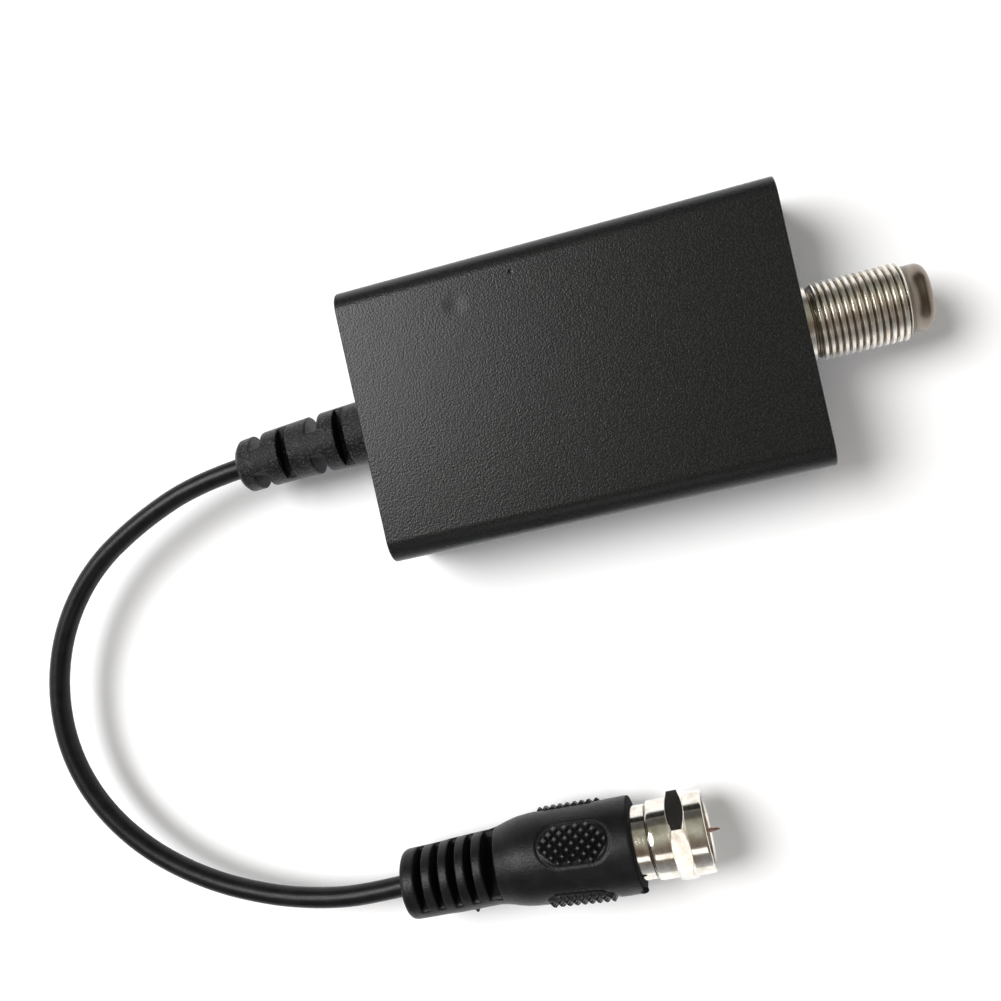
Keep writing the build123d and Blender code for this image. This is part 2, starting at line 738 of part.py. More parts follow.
# Coupling nut: two round collars with a hexagon between them, free to turn on the post
hex_rear_x = nut_rear_x + hex_start
hex_front_x = hex_rear_x + hex_thickness
hex_corner_radius = hex_flats / 2 / cos(radians(30))
hex_start_radius = hex_corner_radius - hex_chamfer / tan(radians(30))
with BuildPart() as coupling_nut:
    hex_place = plug_plane.from_local_coords((hex_rear_x, 0, 0))
    cross_plane = Plane(origin=hex_place, x_dir=plug_plane.y_dir, z_dir=plug_plane.x_dir)
    with BuildSketch(cross_plane) as hexagon:
        RegularPolygon(hex_corner_radius, 6, rotation=-hex_corner_angle)
    extrude(hexagon.sketch, amount=hex_thickness)
    turned(
        plug_plane,
        [
            (hex_rear_x, 0),
            (hex_rear_x, hex_start_radius),
            (hex_rear_x + hex_chamfer, hex_corner_radius),
            (hex_front_x - hex_chamfer, hex_corner_radius),
            (hex_front_x, hex_start_radius),
            (hex_front_x, 0),
        ],
        Mode.INTERSECT,
    )
    barrel(plug_plane, nut_rear_x, hex_rear_x, nut_rear_radius)
    barrel(plug_plane, hex_front_x, nut_front_x, nut_front_radius)
    barrel(plug_plane, nut_rear_x, lip_end_x, post_radius + nut_lip_clearance, mode=Mode.SUBTRACT)
    turned(
        plug_plane,
        [
            (lip_end_x, 0),
            (lip_end_x, nut_bore_radius),
            (nut_front_x - nut_bore_chamfer, nut_bore_radius),
            (nut_front_x, nut_bore_radius + nut_bore_chamfer),
            (nut_front_x, 0),
        ],
        Mode.SUBTRACT,
    )
coupling_nut.part.label = "coupling_nut"
export_step(coupling_nut.part, "parts/coupling_nut.step")
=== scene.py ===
from math import atan2, cos, exp, hypot, pi, radians, sin, tan

import bmesh
import bpy
from mathutils import Matrix, Vector


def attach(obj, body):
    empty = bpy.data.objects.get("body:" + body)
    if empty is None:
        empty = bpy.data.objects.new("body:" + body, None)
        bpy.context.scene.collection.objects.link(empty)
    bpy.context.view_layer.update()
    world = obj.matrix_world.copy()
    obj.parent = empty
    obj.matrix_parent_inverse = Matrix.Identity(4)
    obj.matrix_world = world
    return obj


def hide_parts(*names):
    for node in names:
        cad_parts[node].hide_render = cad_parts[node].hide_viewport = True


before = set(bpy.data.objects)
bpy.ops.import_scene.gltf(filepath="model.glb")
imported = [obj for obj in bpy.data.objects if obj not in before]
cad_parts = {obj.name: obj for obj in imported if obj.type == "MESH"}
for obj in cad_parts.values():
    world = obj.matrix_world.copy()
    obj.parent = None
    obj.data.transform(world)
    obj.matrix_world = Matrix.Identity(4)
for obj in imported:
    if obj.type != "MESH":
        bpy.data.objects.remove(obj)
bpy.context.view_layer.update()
scene = bpy.context.scene
scene.view_settings.view_transform = "Standard"
mm = 0.001  # sizes below are written in millimetres unless a note says otherwise
mergeReach = 2e-6  # metres within which a solid's corners are one
weldReach = 1e-6  # the same for points made here
planeReach = 1e-7  # metres within which a point lies on a cutting plane
sliverArea = 1e-14  # square metres below which a face is nothing

cameraSettings = {
    "lens": 38.35,
    "place": (12.06, -13.82, 144.0),
    "right": (0.9585, -0.2190, -0.1826),
    "up": (0.2165, 0.9757, -0.0338),
    "back": (0.1856, -0.0071, 0.9826),
}


def addCamera():
    data = bpy.data.cameras.new("photoCamera")
    data.lens = cameraSettings["lens"]
    data.sensor_width = 36
    data.clip_start = 0.005
    data.clip_end = 20
    camera = bpy.data.objects.new("photoCamera", data)
    turn = Matrix([cameraSettings[name] for name in ("right", "up", "back")]).transposed()
    camera.matrix_world = Matrix.Translation(Vector(cameraSettings["place"]) * mm) @ turn.to_4x4()
    scene.collection.objects.link(camera)
    scene.camera = camera


addCamera()


# Small helpers for meshes

def newObject(name, mesh):
    piece = bpy.data.objects.new(name, mesh)
    scene.collection.objects.link(piece)
    return piece


def meshFrom(name, points, faces, recalculate=True):
    # points in millimetres; outward faces are found unless they are given so
    work = bmesh.new()
    corners = [work.verts.new(Vector(point) * mm) for point in points]
    for face in faces:
        work.faces.new([corners[i] for i in face])
    bmesh.ops.remove_doubles(work, verts=work.verts, dist=weldReach)
    if recalculate:
        bmesh.ops.recalc_face_normals(work, faces=work.faces)
    mesh = bpy.data.meshes.new(name)
    work.to_mesh(mesh)
    work.free()
    return mesh


def softenShading(mesh, angle):
    mesh.shade_smooth()
    mesh.set_sharp_from_angle(angle=radians(angle))


def plainMesh(piece):
    # what the modifiers give, kept as the piece's own mesh
    graph = bpy.context.evaluated_depsgraph_get()
    finished = bpy.data.meshes.new_from_object(piece.evaluated_get(graph))
    piece.modifiers.clear()
    old = piece.data
    piece.data = finished
    finished.name = piece.name
    if old.users == 0 and isinstance(old, bpy.types.Mesh):
        bpy.data.meshes.remove(old)
    return piece


def turnedFaces(count, sides, closed=True):
    # quads between neighbouring copies of an outline of count points
    faces = []
    for step in range(sides):
        here, after = step * count, (step + 1) % sides * count
        for i in range(count if closed else count - 1):
            j = (i + 1) % count
            faces.append((here + i, here + j, after + j, after + i))
    return faces


def turnedMesh(name, outline, axisZ=0.0, sides=128, closed=True):
    # an outline of (station, radius) points turned about a line along X
    points = []
    for step in range(sides):
        angle = 2 * pi * step / sides
        for station, radius in outline:
            points.append((station, radius * cos(angle), axisZ + radius * sin(angle)))
    return meshFrom(name, points, turnedFaces(len(outline), sides, closed))


def mergedCopy(node, name):
    # the node's own shape with its loose triangles joined up
    work = bmesh.new()
    work.from_mesh(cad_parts[node].data)
    bmesh.ops.remove_doubles(work, verts=work.verts, dist=mergeReach)
    bmesh.ops.dissolve_limit(work, angle_limit=radians(0.5), verts=work.verts, edges=work.edges)
    mesh = bpy.data.meshes.new(name)
    work.to_mesh(mesh)
    work.free()
    return mesh


def paint(mesh, *finishes):
    mesh.materials.clear()
    for finish in finishes:
        mesh.materials.append(finish)


boxSides = [(0, 1, 3, 2), (4, 6, 7, 5), (0, 4, 5, 1), (2, 3, 7, 6), (0, 2, 6, 4), (1, 5, 7, 3)]


def boxesMesh(name, boxes):
    # loose boxes given by their lowest and highest corners
    points, faces = [], []
    for low, high in boxes:
        base = len(points)
        (x1, y1, z1), (x2, y2, z2) = low, high
        points += [(x, y, z) for x in (x1, x2) for y in (y1, y2) for z in (z1, z2)]
        faces += [[base + i for i in side] for side in boxSides]
    return meshFrom(name, points, faces)


def cutAway(piece, cutters):
    cut = piece.modifiers.new("cut", "BOOLEAN")
    cut.operation = "DIFFERENCE"
    cut.solver = "EXACT"
    cut.object = cutters
    plainMesh(piece)
    bpy.data.objects.remove(cutters)


# The cable, along the points that its solid follows

cable = {
    "diameter": 2.8,
    "length": 113.9,
    "stepsAlong": 24,
    "roundness": 8,
    "route": [
        (-47.0, -0.70, 7.5),
        (-54.4, -1.25, 7.5),
        (-64.2, -4.6, 7.3),
        (-73.0, -9.4, 7.0),
        (-79.5, -16.7, 6.7),
        (-83.0, -25.3, 6.4),
        (-83.4, -34.4, 6.2),
        (-80.5, -42.9, 6.1),
        (-74.7, -50.2, 6.0),
        (-66.8, -55.7, 6.0),
        (-58.4, -59.1, 6.1),
        (-51.0, -60.7, 6.3),
        (-44.1, -61.2, 6.5),
        (-37.592, -60.655, 6.5),
    ],
}


def makeCable():
    curve = bpy.data.curves.new("coaxLead", "CURVE")
    curve.dimensions = "3D"
    spline = curve.splines.new("NURBS")
    spline.points.add(len(cable["route"]) - 1)
    for point, place in zip(spline.points, cable["route"]):
        point.co = (*(Vector(place) * mm), 1)
    spline.order_u = 3
    spline.use_endpoint_u = True
    spline.resolution_u = cable["stepsAlong"]
    curve.bevel_depth = cable["diameter"] / 2 * mm
    curve.bevel_resolution = cable["roundness"]
    curve.use_fill_caps = True
    return newObject("coaxLead", curve)


coaxLead = makeCable()
print("cable laid")


# Writers of node trees; a value is a node's output, or a plain number, vector or colour

class TreeWriter:
    def __init__(self, tree):
        self.tree = tree

    def put(self, node, slot, value):
        if isinstance(value, bpy.types.NodeSocket):
            self.tree.links.new(value, node.inputs[slot])
        else:
            node.inputs[slot].default_value = value

    def add(self, kind, **values):
        # a new node with its settings and, by their capitals, its inputs
        node = self.tree.nodes.new(kind)
        for name, value in values.items():
            if name[0].islower():
                setattr(node, name, value)
            else:
                self.put(node, name.replace("_", " "), value)
        return node

    def node(self, kind, **values):
        # what a new node gives first
        return self.add(kind, **values).outputs[0]

    def calculate(self, kind, operation, values):
        node = self.add(kind, operation=operation)
        for slot, value in enumerate(values):
            self.put(node, slot, value)
        return node.outputs

    def do(self, operation, *values):
        return self.calculate("ShaderNodeMath", operation, values)[0]

    def plus(self, first, second):
        return self.do("ADD", first, second)

    def minus(self, first, second):
        return self.do("SUBTRACT", first, second)

    def times(self, first, second):
        return self.do("MULTIPLY", first, second)

    def fit(self, value, span, target=(0, 1), curve="LINEAR"):
        # where a value lies in its span, carried over to another one
        return self.node(
            "ShaderNodeMapRange", interpolation_type=curve, Value=value,
            From_Min=span[0], From_Max=span[1], To_Min=target[0], To_Max=target[1])

    def parts(self, vector):
        return self.add("ShaderNodeSeparateXYZ", Vector=vector).outputs

    def ramp(self, value, stops):
        # stops of (position, colour) or (position, colour, alpha)
        ramp = self.add("ShaderNodeValToRGB", Fac=value)
        elements = ramp.color_ramp.elements
        while len(elements) < len(stops):
            elements.new(0.5)
        for element, (position, colour, *alpha) in zip(elements, stops):
            element.position = position
            element.color = (*colour, *(alpha or [1]))
        return ramp.outputs

    def mix(self, factor, first, second):
        mix = self.add("ShaderNodeMix", data_type="RGBA")
        for slot, value in ((0, factor), (6, first), (7, second)):
            self.put(mix, slot, value)
        return mix.outputs[2]


class MaterialWriter(TreeWriter):
    def __init__(self, name, colour, roughness, metallic=0.0, specular=0.5):
        self.material = bpy.data.materials.new(name)
        self.material.use_nodes = True
        self.material.diffuse_color = (*colour, 1)
        super().__init__(self.material.node_tree)
        self.shader = self.tree.nodes["Principled BSDF"]
        self.cover((*colour, 1), roughness)
        self.put(self.shader, "Metallic", metallic)
        self.put(self.shader, "Specular IOR Level", specular)
        self.normal = None

    def cover(self, colour, roughness):
        self.put(self.shader, "Base Color", colour)
        self.put(self.shader, "Roughness", roughness)

    def place(self, centre=(0, 0, 0), yaw=0.0):
        # the piece's own coordinates, seen from a centre and turned back by a yaw
        return self.node(
            "ShaderNodeMapping", vector_type="TEXTURE",
            Vector=self.add("ShaderNodeTexCoord").outputs["Object"],
            Location=Vector(centre) * mm, Rotation=(0, 0, radians(yaw)))

    def grain(self, place, size, detail=3.0, stretch=(1, 1, 1), rough=0.5):
        # noise whose features are about size millimetres
        scale = Vector(stretch) * (1000 / size)
        scaled = self.node("ShaderNodeMapping", Vector=place, Scale=scale)
        return self.node(
            "ShaderNodeTexNoise", Vector=scaled, Scale=1.0, Detail=detail, Roughness=rough)

    def tones(self, value, span, dark, light):
        return self.ramp(value, [(span[0], dark), (span[1], light)])[0]

    def rough(self, value, span, middle, spread):
        # roughness that follows a grain, by so much below and above its middle value
        return self.fit(value, span, (middle + spread[0], middle + spread[1]))

    def reach(self, operation, *vectors):
        # a vector's length or the distance between two
        return self.calculate("ShaderNodeVectorMath", operation, vectors)["Value"]

    def axisDistance(self, place):
        # distance from the X axis of the given coordinates, in millimetres
        across = self.calculate("ShaderNodeVectorMath", "MULTIPLY", (place, (0, 1000, 1000)))
        return self.reach("LENGTH", across["Vector"])

    def bump(self, height, distance):
        # each one stands on the one before
        bump = self.add("ShaderNodeBump", Height=height, Distance=distance * mm)
        if self.normal:
            self.put(bump, "Normal", self.normal)
        self.normal = bump.outputs[0]
        self.put(self.shader, "Normal", self.normal)


# Materials

caseLook = {
    "dark": (0.0058, 0.0063, 0.0064),
    "light": (0.0125, 0.0134, 0.0136),
    "tones": (0.40, 0.66),
    "specular": 0.27,
    "roughness": 0.315,
    "spread": (-0.03, 0.03),
    "span": (0.36, 0.64),
    "grain": 0.23,
    "grainDepth": 0.036,
    "mottle": 5.0,
    "mottleDepth": 0.015,
    # one shallow sink mark and one nick in the lid: place, size, depth
    "dents": [((-12.5, 11.9, 15.0), 1.9, 0.05), ((-4.9, 14.1, 15.0), 0.35, 0.09)],
}


def caseMaterial():
    look = caseLook
    m = MaterialWriter(
        "sparkedCasePlastic", look["dark"], look["roughness"], specular=look["specular"])
    place = m.place()
    grain = m.grain(place, look["grain"], detail=1, rough=0.6)
    colour = m.tones(grain, look["tones"], look["dark"], look["light"])
    m.cover(colour, m.rough(grain, look["span"], look["roughness"], look["spread"]))
    for centre, size, depth in look["dents"]:
        away = m.reach("DISTANCE", place, Vector(centre) * mm)
        m.bump(m.fit(away, (0, size * mm), curve="SMOOTHSTEP"), depth)
    m.bump(m.grain(place, look["mottle"], detail=2), look["mottleDepth"])
    m.bump(grain, look["grainDepth"])
    return m.material


vinylLook = {
    "dark": (0.0030, 0.0030, 0.0038),
    "light": (0.0075, 0.0075, 0.0090),
    "sweepTones": (0.35, 0.7),
    "specular": 0.21,
    "spread": (-0.05, 0.07),
    "span": (0.36, 0.64),
    "grain": 0.26,
    "sweep": 2.2,
    "sweepDepth": 0.05,
    # pale specks on the relief: a painted sparkle that stands in for the glints off its grain
    "sparkleColour": (0.07, 0.07, 0.072),
    "sparkleTones": (0.52, 0.72),
    # the plug: radii over which tips take a painted highlight and slots grow matt, and where its
    # front starts
    "tipRadius": (6.36, 6.46),
    "tipHighlightColour": (0.085, 0.085, 0.09),
    "tipHighlightSpan": (0.3, 1.0),
    "slotRadius": (4.1, 4.55),
    "frontStation": (-6.5, -6.3),
    "mattRoughness": 0.95,
}


def paintedTipHighlight(m, reach, colour):
    # the grip's points grow paler towards their tips: a painted highlight
    look = vinylLook
    tipHighlightShare = m.fit(reach, look["tipRadius"])
    start, full = look["tipHighlightSpan"]
    litTips = m.ramp(tipHighlightShare, [(start, look["dark"]), (full, look["tipHighlightColour"])])
    return m.mix(tipHighlightShare, colour, litTips[0])


def mattParts(m, place, reach, rough):
    # the slots and the front face keep the mould's matt skin
    matt = vinylLook["mattRoughness"]
    inSlot = m.fit(reach, vinylLook["slotRadius"], (matt, 0))
    front = [value * mm for value in vinylLook["frontStation"]]
    onFront = m.fit(m.parts(place)["X"], front, (0, matt))
    return m.do("MAXIMUM", rough, m.do("MAXIMUM", inSlot, onFront))


def vinylMaterial(name, roughness, grainDepth, litTips=None, paintedSparkle=False):
    # soft moulded vinyl; the plug's centre and yaw, when given, put a painted highlight on the tips
    # of its grip
    look = vinylLook
    m = MaterialWriter(name, look["dark"], roughness, specular=look["specular"])
    place = m.place(*(litTips or ()))
    grain = m.grain(place, look["grain"], detail=2, rough=0.6)
    sweep = m.grain(place, look["sweep"])
    if paintedSparkle:
        # pale specks that follow the grain: painted sparkle
        colour = m.tones(grain, look["sparkleTones"], look["dark"], look["sparkleColour"])
    else:
        colour = m.tones(sweep, look["sweepTones"], look["dark"], look["light"])
    rough = m.rough(grain, look["span"], roughness, look["spread"])
    if litTips:
        reach = m.axisDistance(place)
        # painted highlight on the grip's tips; the slots and the front stay matt
        colour, rough = paintedTipHighlight(m, reach, colour), mattParts(m, place, reach, rough)
    m.cover(colour, rough)
    m.bump(sweep, look["sweepDepth"])
    m.bump(grain, grainDepth)
    return m.material


nickelLook = {
    "clean": (0.82, 0.79, 0.72),
    "fresh": (0.95, 0.94, 0.91),
    "stained": (0.60, 0.53, 0.44),
    "stainTones": (0.42, 0.72),
    "patch": 1.5,
    # a painted shade colour for the thread's grooves, and the radii over which it fades out
    "grooveShade": (0.24, 0.20, 0.16),
    "grooveShadeRadius": (4.34, 4.50),
    "lines": 0.07,
    "lineStretch": (1, 0.015, 0.015),
    "span": (0.3, 0.7),
    "spread": (-0.03, 0.06),
}


def nickelMaterial(name, roughness, lineDepth, centre, yaw=0.0, shadedGrooves=False, stained="stained"):
    # turned and plated: fine lines round the axis, stains in patches, painted shade down in the
    # thread's grooves
    look = nickelLook
    m = MaterialWriter(name, look["clean"], roughness, metallic=1.0)
    place = m.place(centre, yaw)
    patch = m.grain(place, look["patch"])
    colour = m.tones(patch, look["stainTones"], look["clean"], look[stained])
    if shadedGrooves:
        # darker below the crests, down in the grooves: painted shade
        clear = m.fit(m.axisDistance(place), look["grooveShadeRadius"])
        colour = m.mix(clear, (*look["grooveShade"], 1), colour)
    lines = m.grain(place, look["lines"], detail=2, stretch=look["lineStretch"])
    m.cover(colour, m.rough(lines, look["span"], roughness, look["spread"]))
    m.bump(lines, lineDepth)
    return m.material


plainLook = {
    "tones": (0.35, 0.7),
    "span": (0.3, 0.7),
    "spread": (-0.06, 0.08),
    # dark, light, roughness, grain size, grain depth, metallic
    "finishes": {
        "insulatorPolythene": ((0.78, 0.78, 0.74), (0.86, 0.86, 0.83), 0.35, 0.5, 0.004, 0),
        "contactBronze": ((0.60, 0.42, 0.18), (0.75, 0.55, 0.26), 0.25, 0.3, 0.002, 1),
        "copperWire": ((0.62, 0.30, 0.18), (0.76, 0.42, 0.28), 0.28, 0.3, 0.002, 1),
        "tarnishedPinCopper": ((0.36, 0.24, 0.21), (0.52, 0.38, 0.34), 0.3, 0.3, 0.004, 1),
        "tinnedBraid": ((0.42, 0.42, 0.41), (0.66, 0.65, 0.63), 0.38, 0.12, 0.02, 1),
        "boardSolderMask": ((0.015, 0.11, 0.045), (0.025, 0.16, 0.07), 0.3, 1.2, 0.01, 0),
        "chipEpoxy": ((0.02, 0.02, 0.02), (0.032, 0.032, 0.032), 0.5, 0.15, 0.006, 0),
        "capacitorCeramic": ((0.34, 0.24, 0.15), (0.45, 0.33, 0.22), 0.4, 0.2, 0.004, 0),
        "chokeFerrite": ((0.05, 0.05, 0.055), (0.08, 0.08, 0.085), 0.55, 0.2, 0.01, 0),
        "screwSteel": ((0.20, 0.20, 0.21), (0.33, 0.33, 0.34), 0.33, 0.2, 0.003, 1),
    },
}


def plainMaterial(name):
    look = plainLook
    dark, light, roughness, size, depth, metallic = look["finishes"][name]
    m = MaterialWriter(name, dark, roughness, metallic)
    grain = m.grain(m.place(), size)
    colour = m.tones(grain, look["tones"], dark, light)
    m.cover(colour, m.rough(grain, look["span"], roughness, look["spread"]))
    m.bump(grain, depth)
    return m.material


plug = {
    "axisY": -59.9,
    "axisZ": 6.5,
    "yaw": 1.15,
    "tilt": 30,
    "tail": -37.6,
    "slotFirst": 2.05,
    "slotPitch": 2.36,
    "slotWidth": 1.08,
    "slotCount": 4,
    "lastSlotWidth": 1.76,
    "slotWeb": 3.4,
    "cutterReach": 8,
    "softening": 0.16,
    "passes": 2,
    "bow": {"from": -37.6, "peak": -20.5, "to": -8.0, "rise": 0.38},
    "outline": [
        (-37.6, 1.4), (-37.6, 3.95), (-37.5, 4.28), (-37.25, 4.48), (-36.8, 4.57), (-32.6, 4.64),
        (-31.0, 4.74), (-25.4, 4.80), (-24.8, 4.88), (-24.1, 5.02), (-23.4, 5.21), (-22.6, 5.43),
        (-21.8, 5.61), (-21.0, 5.74), (-20.0, 5.83), (-18.5, 5.91), (-16.0, 6.00), (-13.0, 6.07),
        (-9.0, 6.14), (-6.5, 6.15), (-6.25, 6.10), (-6.2, 5.95), (-6.2, 4.7), (-10.2, 4.7),
        (-10.2, 3.4), (-14.3, 3.4), (-14.3, 1.4),
    ],
}
plugCentre = (0, plug["axisY"], plug["axisZ"])
socketCentre = (0, 0, 7.5)

casePlastic = caseMaterial()
bootVinyl = vinylMaterial(
    "mouldedBootVinyl", roughness=0.41, grainDepth=0.034, litTips=(plugCentre, plug["yaw"]))
reliefVinyl = vinylMaterial("mouldedReliefVinyl", roughness=0.35, grainDepth=0.16, paintedSparkle=True)
jacketVinyl = vinylMaterial("cableJacketVinyl", roughness=0.37, grainDepth=0.008)
nutNickel = nickelMaterial(
    "turnedNutNickel", roughness=0.13, lineDepth=0.0013, centre=plugCentre, yaw=plug["yaw"])
socketNickel = nickelMaterial(
    "turnedSocketNickel", roughness=0.14, lineDepth=0.0012, centre=socketCentre, stained="fresh")
threadNickel = nickelMaterial(
    "threadNickel", roughness=0.27, lineDepth=0.0006, centre=socketCentre, shadedGrooves=True)
plain = {name: plainMaterial(name) for name in plainLook["finishes"]}
print("materials made")

for finish, nodeNames in [
    (casePlastic, ["top_shell", "bottom_shell"]),
    (bootVinyl, ["plug_boot"]),
    (reliefVinyl, ["strain_relief"]),
    (jacketVinyl, ["cord", "cord_box_end", "cord_plug_end"]),
    (nutNickel, ["coupling_nut", "plug_collar", "plug_post"]),
    (socketNickel, ["socket_body"]),
    (plain["insulatorPolythene"], [
        "socket_front_insulator", "socket_rear_insulator", "cord_dielectric", "plug_dielectric"]),
    (plain["contactBronze"], ["socket_contact"]),
    (plain["copperWire"], ["cord_conductor", "filter_coils"]),
    (plain["tarnishedPinCopper"], ["plug_pin"]),
    (plain["tinnedBraid"], ["cord_braid"]),
    (plain["boardSolderMask"], ["circuit_board"]),
    (plain["chipEpoxy"], ["amplifier_chip"]),
    (plain["capacitorCeramic"], ["chip_capacitors"]),
    (plain["chokeFerrite"], ["supply_choke"]),
    (plain["screwSteel"], ["case_screws"]),
]:
    for nodeName in nodeNames:
        paint(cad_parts[nodeName].data, finish)
paint(coaxLead.data, jacketVinyl)


# The plug's soft body. Plug pieces are made along X and then laid on the plug's own axis

plugTurn = Matrix.Rotation(radians(plug["yaw"]), 4, "Z")
plugPlace = Matrix.Translation(Vector(plugCentre) * mm) @ plugTurn


def bowAt(station):
    bow = plug["bow"]
    edge = bow["from"] if station < bow["peak"] else bow["to"]
    share = min(abs((station - bow["peak"]) / (edge - bow["peak"])), 1)
    return bow["rise"] * cos(share * pi / 2) ** 2


def layOnPlug(piece, bowed=False):
    if bowed:
        for vertex in piece.data.vertices:
            vertex.co.y += bowAt(vertex.co.x / mm) * mm
    piece.data.transform(plugPlace)
    piece.data.update()
    return piece


def slotCutters():
    # boxes that leave the flat web between two facing slots
    first = plug["tail"] + plug["slotFirst"]
    widths = [plug["slotWidth"]] * plug["slotCount"] + [plug["lastSlotWidth"]]
    far, web = plug["cutterReach"], plug["slotWeb"] / 2
    boxes = []
    for number, width in enumerate(widths):
        start = first + number * plug["slotPitch"]
        boxes.append(((start, -far, web), (start + width, far, far)))
        boxes.append(((start, -far, -far), (start + width, far, -web)))
    cutters = newObject("slotCutters", boxesMesh("slotCutters", boxes))
    cutters.data.transform(Matrix.Rotation(radians(-plug["tilt"]), 4, "X"))
    return cutters


def softenEdges(piece, size, passes):
    # rounds a moulded piece's edges by rebuilding its skin in small steps
    remesh = piece.modifiers.new("skin", "REMESH")
    remesh.mode = "VOXEL"
    remesh.voxel_size = size * mm
    remesh.use_smooth_shade = True
    smooth = piece.modifiers.new("soft", "SMOOTH")
    smooth.factor = 0.5
    smooth.iterations = passes
    plainMesh(piece)


grip = {
    "length": 9.2,
    "width": 5.4,
    "bodyRadius": 6.05,
    "slope": 0.02,
    "height": 0.42,
    "sunk": 0.12,
    "rows": 23,
    # of a point, in pitches: half its diagonal at foot and top, and how far rows keep in
    "footShare": 0.83,
    "topShare": 0.09,
    "rimShare": 0.08,
    # how the points beyond the outline sink, in heights, and over which distance
    "drop": 1.2,
    "dropOver": 0.1,
    "pocket": 0.05,
    "groove": 0.16,
    "groovePlace": 0.05,
    "grooveWidth": 0.1875,
    "grooveEnds": 1,
    "skinFrom": 5.3,
    # angle, centre, pitch and turn of the rows
    "pads": [
        (30, -13.6, 1.0, 45),
        (210, -13.6, 1.0, 45),
        (120, -14.3, 0.97, 0),
        (300, -14.3, 0.97, 0),
    ],
}
burrs = {
    "sides": 8,
    "rooted": 0.4,
    # share of the reach and of the width at each ring above the root
    "rings": [(0.6, 0.8), (1.0, 0.3)],
    # station, radius, angle, way out, reach, width
    "places": [(-28.8, 4.75, -76, "up", 0.50, 0.30), (-6.25, 5.95, -56, "ahead", 0.62, 0.46)],
}


def burrMesh():
    # specks of moulding flash: small blunt spikes that join the skin
    points, faces = [], []
    sides = burrs["sides"]
    for station, radius, angle, way, reach, width in burrs["places"]:
        radial = Vector((0, sin(radians(angle)), cos(radians(angle))))
        side = Vector((0, radial.z, -radial.y))
        along, out = Vector((1, 0, 0)), radial
        if way == "ahead":
            along, out = out, along
        foot = Vector((station, 0, 0)) + radial * radius - out * burrs["rooted"]
        base = len(points)
        levels = [(burrs["rooted"] + reach * share, part) for share, part in burrs["rings"]]
        for level, part in [(0, 1.0), *levels]:
            for step in range(sides):
                turn = 2 * pi * step / sides
                spoke = along * cos(turn) + side * sin(turn)
                points.append(foot + out * level + spoke * width * part)
        for ring in range(len(levels)):
            here = base + ring * sides
            for step in range(sides):
                after = (step + 1) % sides
                faces.append([here + step, here + after, here + sides + after, here + sides + step])
        top = base + len(levels) * sides
        faces += [list(range(base, base + sides)), list(range(top, top + sides))]
    return meshFrom("flashBurrs", points, faces)


def padOutlines(mesh):
    # each grip pad stands in a shallow pocket with a groove round it
    g = grip
    halfStraight = (g["length"] - g["width"]) / 2
    for vertex in mesh.vertices:
        x, y, z = (value / mm for value in vertex.co)
        radius = hypot(y, z)
        if radius < g["skinFrom"]:
            continue
        for angle, centre, _, _ in g["pads"]:
            around = (atan2(y, z) - radians(angle) + pi) % (2 * pi) - pi
            beyond = max(abs(x - centre) - halfStraight, 0)
            outside = hypot(beyond, around * radius) - g["width"] / 2
            if outside > g["grooveEnds"]:
                continue
            sink = g["groove"] * exp(-((outside - g["groovePlace"]) / g["grooveWidth"]) ** 2)
            if outside < 0:
                sink = max(sink, g["pocket"])
            vertex.co.y -= y / radius * sink * mm
            vertex.co.z -= z / radius * sink * mm


def makeBoot():
    boot = newObject("plugBoot", turnedMesh("plugBoot", plug["outline"]))
    cutAway(boot, slotCutters())
    work = bmesh.new()
    work.from_mesh(boot.data)
    work.from_mesh(burrMesh())
    work.to_mesh(boot.data)
    work.free()
    softenEdges(boot, plug["softening"], plug["passes"])
    padOutlines(boot.data)
    paint(boot.data, bootVinyl)
    return layOnPlug(boot, bowed=True)


plugBoot = makeBoot()
print("plug body moulded", len(plugBoot.data.polygons), "faces")


# Trees of geometry nodes

class ShapeWriter(TreeWriter):
    # with named inputs and their first values
    def __init__(self, name, inputs):
        super().__init__(bpy.data.node_groups.new(name, "GeometryNodeTree"))
        sockets = self.tree.interface
        self.identifiers = {}
        for key, value in inputs.items():
            kind = {float: "Float", int: "Int"}.get(type(value), "Material")
            given = sockets.new_socket(key, in_out="INPUT", socket_type="NodeSocket" + kind)
            given.default_value = value
            self.identifiers[key] = given.identifier
        sockets.new_socket("Geometry", in_out="OUTPUT", socket_type="NodeSocketGeometry")
        self.get = self.tree.nodes.new("NodeGroupInput").outputs

    def position(self):
        return self.parts(self.node("GeometryNodeInputPosition"))

    def around(self, radius, angle):
        # a radius at an angle, as its two sides
        return [self.times(radius, self.do(side, angle)) for side in ("COSINE", "SINE")]

    def finish(self, geometry):
        finish = self.get["Finish"]
        coated = self.node("GeometryNodeSetMaterial", Geometry=geometry, Material=finish)
        self.put(self.add("NodeGroupOutput"), 0, coated)
        return self

    def run(self, name, inputs):
        # one plain mesh, in the place where the tree makes it
        piece = newObject(name, bpy.data.meshes.new(name))
        modifier = piece.modifiers.new("build", "NODES")
        modifier.node_group = self.tree
        for key, value in inputs.items():
            modifier[self.identifiers[key]] = value
        return plainMesh(piece)


# Raised points on the plug's grip

def gripInputs(angle, centre, pitch, rowTurn):
    return {
        "Pitch": pitch * mm,
        "Row Turn": radians(rowTurn),
        "Pad Length": grip["length"] * mm,
        "Pad Width": grip["width"] * mm,
        "Pad Centre": centre * mm,
        "Pad Angle": radians(angle),
        "Body Radius": grip["bodyRadius"] * mm,
        "Body Slope": grip["slope"],
        "Height": grip["height"] * mm,
        "Sunk": grip["sunk"] * mm,
        "Finish": bootVinyl,
    }


